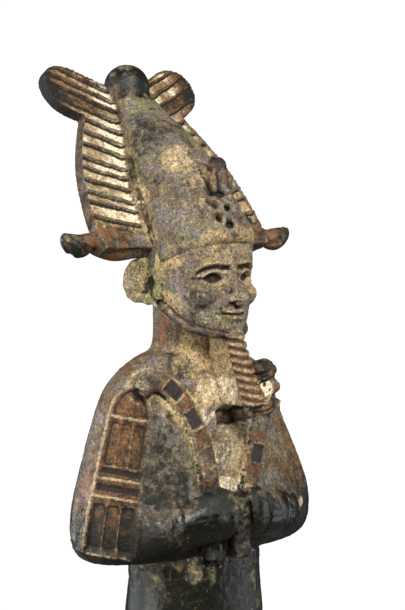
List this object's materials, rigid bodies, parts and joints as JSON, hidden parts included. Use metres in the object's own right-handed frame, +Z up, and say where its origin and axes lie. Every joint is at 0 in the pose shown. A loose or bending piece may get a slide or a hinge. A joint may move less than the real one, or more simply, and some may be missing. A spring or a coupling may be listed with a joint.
{
  "type": "osiris figure",
  "caption": "Small bronze figure of a mummy-shaped standing god with a tall plumed crown, false beard, crook and flail, on a low plinth, for a shelf, cabinet or altar.",
  "frame": {"origin": "centre of the plinth's flat underside, which is what the figure stands on", "axes": "+Z up through the crown, -Y the way the face looks, +X the figure's left hand"},
  "size_m": [0.068, 0.0523, 0.23],
  "materials": {
    "bronze": "old cast bronze, satin, dark brown with green, red and pale crusts"
  },
  "bodies": {
    "root": {"osiris_figure": "bronze"}
  },
  "joints": []
}
